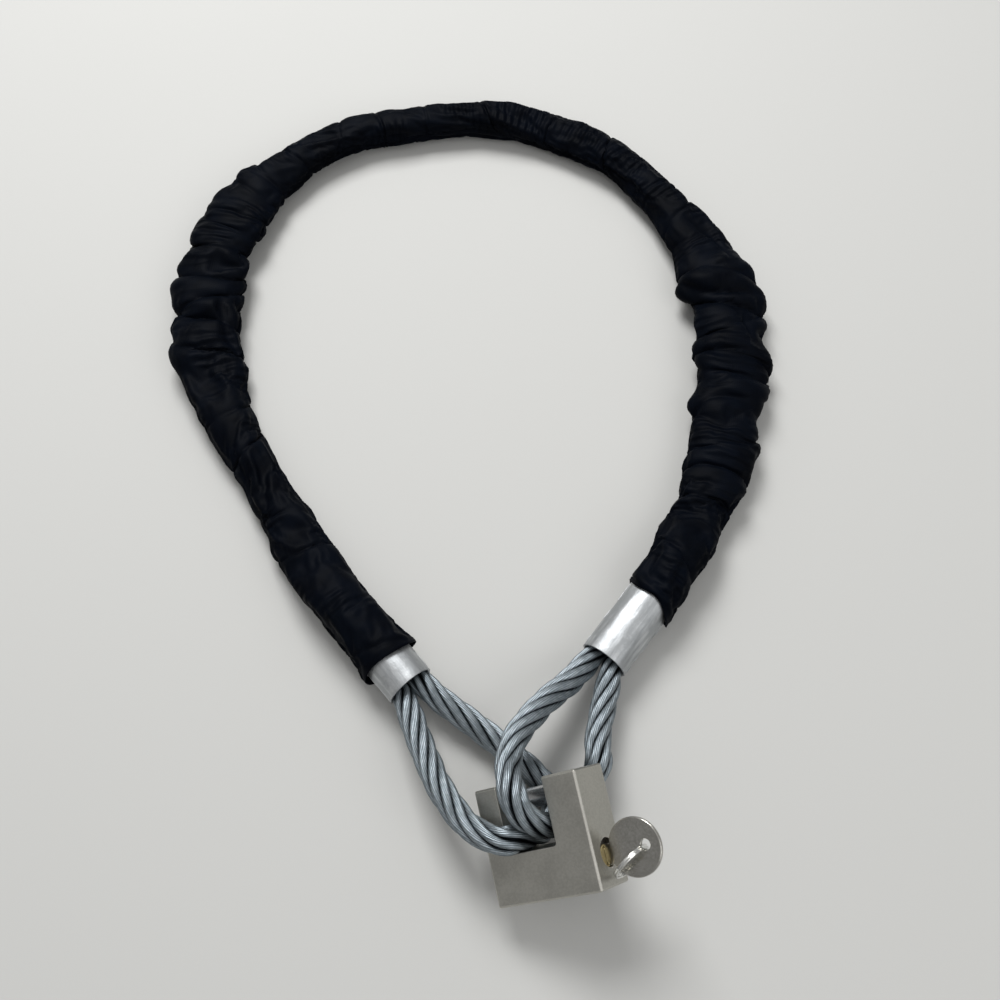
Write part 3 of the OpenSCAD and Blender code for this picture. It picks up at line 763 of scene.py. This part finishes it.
def add_sleeve():
    rings, gather, along = sleeve_rings()
    rings = settled(rings, gather)
    rings[..., 2] = np.maximum(rings[..., 2], CLOTH_THICKNESS)
    mesh, i, k = tube_mesh("sleeve_cloth", rings)
    layer = mesh.uv_layers.new(name="cloth")
    corner_u = np.stack([k, k + 1, k + 1, k], axis=-1) * CUT_GIRTH / rings.shape[1]
    corner_v = np.stack([along[i], along[i], along[i + 1], along[i + 1]], axis=-1)
    layer.data.foreach_set("uv", np.stack([corner_u, corner_v], axis=-1).ravel().astype(np.float32))
    sleeve = bpy.data.objects.new("sleeve_cloth", mesh)
    bpy.context.scene.collection.objects.link(sleeve)
    use_only(sleeve)
    bpy.ops.object.shade_smooth()
    wall = sleeve.modifiers.new("wall", "SOLIDIFY")
    wall.thickness = CLOTH_THICKNESS
    wall.offset = -1
    bpy.ops.object.modifier_apply(modifier="wall")
    sleeve.data.materials.append(cloth_finish())
    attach(sleeve, "padlock")
    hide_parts("fabric_sleeve")
    return sleeve


# Ferrules


def face_picker(piece):
    """A function that, in edit mode, selects only the faces whose middle and normal pass a test."""

    def pick(test):
        mesh = bmesh.from_edit_mesh(piece.data)
        mesh.faces.ensure_lookup_table()
        bpy.ops.mesh.select_all(action="DESELECT")
        for face in mesh.faces:
            if test(face.calc_center_median(), face.normal):
                face.select_set(True)
        bmesh.update_edit_mesh(piece.data)

    return pick


def add_ferrule(name, node, end, inward, seed):
    """A pressed sleeve with a funnelled mouth round two legs, a die seam on each side, and dents."""
    bpy.ops.object.select_all(action="DESELECT")
    bpy.ops.mesh.primitive_cylinder_add(
        vertices=72,
        radius=FERRULE_RADIUS,
        depth=FERRULE_LENGTH,
        location=(FERRULE_LENGTH / 2, 0, 0),
        rotation=(0, math.pi / 2, 0),
    )
    piece = bpy.context.object
    piece.name = name
    bpy.ops.object.transform_apply(location=True, rotation=True, scale=True)
    bpy.ops.object.mode_set(mode="EDIT")
    bpy.ops.mesh.select_mode(type="FACE")
    pick = face_picker(piece)
    for share in np.linspace(0, 1, 19)[1:-1]:
        bpy.ops.mesh.select_all(action="SELECT")
        bpy.ops.mesh.bisect(plane_co=(FERRULE_LENGTH * share, 0, 0), plane_no=(1, 0, 0))
    pick(lambda c, n: abs(n.x) < 0.5 and 3 * MM < c.x < FERRULE_LENGTH - 3 * MM)
    bpy.ops.transform.vertex_random(offset=0.5 * MM, uniform=0.0, normal=1.0, seed=seed)
    bpy.ops.mesh.vertices_smooth(factor=0.5, repeat=3)
    pick(lambda c, n: n.x < -0.9)
    bpy.ops.mesh.inset(thickness=1.1 * MM, depth=0)
    bpy.ops.mesh.inset(thickness=0.5 * MM, depth=-1.2 * MM)
    bpy.ops.transform.resize(value=(1, 1, 0.66))
    bpy.ops.mesh.inset(thickness=0.2 * MM, depth=-1.6 * MM)
    bpy.ops.transform.resize(value=(1, 1, 0.92))
    pick(lambda c, n: n.x > 0.9)
    bpy.ops.mesh.inset(thickness=1.2 * MM, depth=0)
    bpy.ops.mesh.inset(thickness=0.4 * MM, depth=-0.8 * MM)
    pick(lambda c, n: abs(n.y) > 0.9985 and 2 * MM < c.x < FERRULE_LENGTH - 2 * MM)
    bpy.ops.mesh.extrude_region_shrink_fatten(TRANSFORM_OT_shrink_fatten={"value": 0.3 * MM})
    bpy.ops.object.mode_set(mode="OBJECT")
    rim = piece.modifiers.new("rim", "BEVEL")
    rim.width = 0.35 * MM
    rim.segments = 3
    rim.angle_limit = math.radians(40)
    bpy.ops.object.modifier_apply(modifier="rim")
    heading = math.atan2(inward[1], inward[0])
    piece.matrix_world = Matrix.Translation(Vector(end * MM)) @ Matrix.Rotation(heading, 4, "Z")
    bpy.ops.object.transform_apply(location=True, rotation=True, scale=True)
    piece.data.materials.append(ferrule_finish(heading))
    bpy.ops.object.shade_smooth_by_angle(angle=math.radians(35))
    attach(piece, "padlock")
    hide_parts(node)
    return piece


# Padlock

# Split ring, in millimetres: to its wire's middle, the wire's radius, and the rise of a turn
RING_RADIUS, RING_WIRE, RING_PITCH = 10, 0.62, 1.26


def add_key_ring():
    """A split ring of two turns of round wire, turned about its own axis and leant into the bow's hole."""
    bpy.ops.object.select_all(action="DESELECT")
    bpy.ops.mesh.primitive_circle_add(
        vertices=20, radius=RING_WIRE, location=(RING_RADIUS, 0, -RING_PITCH), rotation=(math.pi / 2, 0, 0)
    )
    ring = bpy.context.object
    ring.name = "split_ring"
    bpy.ops.object.transform_apply(location=True, rotation=True, scale=True)
    turns = ring.modifiers.new("turns", "SCREW")
    turns.iterations = 2
    turns.steps = 96
    turns.render_steps = 96
    turns.screw_offset = RING_PITCH
    bpy.ops.object.modifier_apply(modifier="turns")
    bpy.ops.object.mode_set(mode="EDIT")
    bpy.ops.mesh.select_all(action="SELECT")
    bpy.ops.mesh.fill_holes(sides=0)
    bpy.ops.mesh.select_all(action="SELECT")
    bpy.ops.mesh.normals_make_consistent(inside=False)
    bpy.ops.object.mode_set(mode="OBJECT")
    lean = Matrix.Rotation(-math.radians(32), 4, "Y")
    ring.matrix_world = (
        LOCK @ Matrix.Translation((81, 13.5, 16.4)) @ lean @ Matrix.Translation((-11.8, 0, 0))
        @ Matrix.Rotation(math.radians(150), 4, "Z")
    )
    bpy.ops.object.transform_apply(location=True, rotation=True, scale=True)
    bpy.ops.object.shade_smooth_by_angle(angle=math.radians(40))
    ring.data.materials.append(
        metal_finish("ring_nickel", (0.5, 0.5, 0.48), (0.75, 0.75, 0.72), 0.16)
    )
    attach(ring, "ring")
    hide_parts("key_ring")
    return ring


def paint_cad_nodes():
    """Gives every CAD node that stays its own finish."""
    body = metal_finish("satin_nickel", (0.40, 0.39, 0.355), (0.47, 0.46, 0.42), 0.42)
    bolt = metal_finish("bolt_steel", (0.5, 0.5, 0.5), (0.66, 0.66, 0.66), 0.25)
    brass = metal_finish("turned_brass", (0.56, 0.45, 0.22), (0.74, 0.62, 0.34), 0.3)
    nickel = metal_finish("key_nickel", (0.36, 0.35, 0.32), (0.46, 0.45, 0.42), 0.24)
    # The housing round the plug is painted near black, a painted shade for the keyhole's recess
    housing = metal_finish("housing_painted_shade", (0.05, 0.045, 0.04), (0.11, 0.1, 0.085), 0.4)
    spring = metal_finish("spring_steel", (0.4, 0.4, 0.42), (0.55, 0.55, 0.57), 0.3)
    finishes = {
        "lock_body": body, "latch_plug": body, "locking_bolt": bolt, "latch": brass,
        "cylinder_housing": housing, "cylinder_plug": brass, "wafers": brass, "key": nickel,
    }
    for name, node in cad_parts.items():
        if node.hide_render:
            continue
        material = finishes.get(name, spring)
        if not node.data.materials:
            node.data.materials.append(material)
        for index in range(len(node.material_slots)):
            node.material_slots[index].material = material


# Floor and light


def add_floor():
    bpy.ops.object.select_all(action="DESELECT")
    bpy.ops.mesh.primitive_plane_add(size=8, location=(0, 0, -0.0003))
    floor = bpy.context.object
    floor.name = "floor"
    pale = finish("pale_floor", {"Base Color": (0.5, 0.5, 0.485, 1), "Roughness": 0.85})[0]
    floor.data.materials.append(pale)


def add_light(name, place, target, size, power, colour=(1, 1, 1)):
    data = bpy.data.lights.new(name, "AREA")
    data.size = size
    data.energy = power
    data.color = colour
    light = bpy.data.objects.new(name, data)
    bpy.context.scene.collection.objects.link(light)
    light.location = place
    light.rotation_euler = (Vector(target) - Vector(place)).to_track_quat("-Z", "Y").to_euler()


def add_lights():
    add_light("key_light", (-0.35, 1.15, 1.3), (-0.05, 0.2, 0), 0.7, 26)
    add_light("fill_light", (0.9, -0.7, 1.2), (0, 0.1, 0), 1.2, 7)
    world = bpy.data.worlds.new("studio")
    world.use_nodes = True
    tree = world.node_tree
    place = tree.nodes.new("ShaderNodeTexCoord")
    split = tree.nodes.new("ShaderNodeSeparateXYZ")
    height = tree.nodes.new("ShaderNodeMapRange")
    height.inputs["To Min"].default_value = 0.22
    height.inputs["To Max"].default_value = 1.05
    tree.links.new(place.outputs["Generated"], split.inputs["Vector"])
    tree.links.new(split.outputs["Z"], height.inputs["Value"])
    tree.links.new(height.outputs["Result"], tree.nodes["Background"].inputs["Color"])
    tree.nodes["Background"].inputs["Strength"].default_value = 0.6
    bpy.context.scene.world = world
    bpy.context.scene.view_settings.view_transform = "Standard"


add_camera()
add_eye(
    "eye_left", "rope_eye_left", LEFT_END, LEFT_INWARD,
    EYE_LEFT_FRONT, EYE_LEFT_ROUND, EYE_LEFT_BACK, 0.2,
)
add_eye(
    "eye_right", "rope_eye_right", RIGHT_END, RIGHT_INWARD,
    EYE_RIGHT_FRONT, EYE_RIGHT_ROUND, EYE_RIGHT_BACK, 0.5,
)
add_main_rope()
add_tail("tail_left", "rope_tail_left", LEFT_FAR, LEFT_INWARD, -1)
add_tail("tail_right", "rope_tail_right", RIGHT_FAR, RIGHT_INWARD, 1)
add_ferrule("ferrule_sleeve_left", "ferrule_left", LEFT_END, LEFT_INWARD, 3)
add_ferrule("ferrule_sleeve_right", "ferrule_right", RIGHT_END, RIGHT_INWARD, 5)
add_sleeve()
add_key_ring()
paint_cad_nodes()
add_floor()
add_lights()
